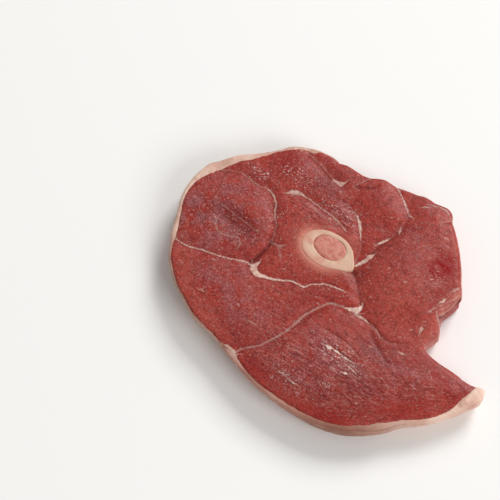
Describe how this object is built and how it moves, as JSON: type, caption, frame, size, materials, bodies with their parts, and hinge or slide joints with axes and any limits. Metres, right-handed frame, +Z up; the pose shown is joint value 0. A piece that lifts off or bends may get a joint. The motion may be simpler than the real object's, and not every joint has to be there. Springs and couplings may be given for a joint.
{
  "type": "raw lamb leg chop",
  "caption": "Raw bone-in slice of lamb leg: lean meat round a sawn thigh bone with marrow, a thin cover of fat on the skin side and a pointed tail. It lies flat.",
  "frame": {"origin": "on the resting face, at the middle of the slice's length and width", "axes": "+Z up through the slice's thickness, +X along its longest extent towards the tail"},
  "size_m": [0.1566, 0.1143, 0.0158],
  "materials": {
    "lean": "moist raw meat",
    "fat": "satin raw fat",
    "bone": "sawn bone",
    "marrow": "moist marrow"
  },
  "bodies": {
    "root": {"lean_meat": "lean", "fat_cover": "fat", "leg_bone": "bone", "marrow": "marrow"}
  },
  "joints": []
}
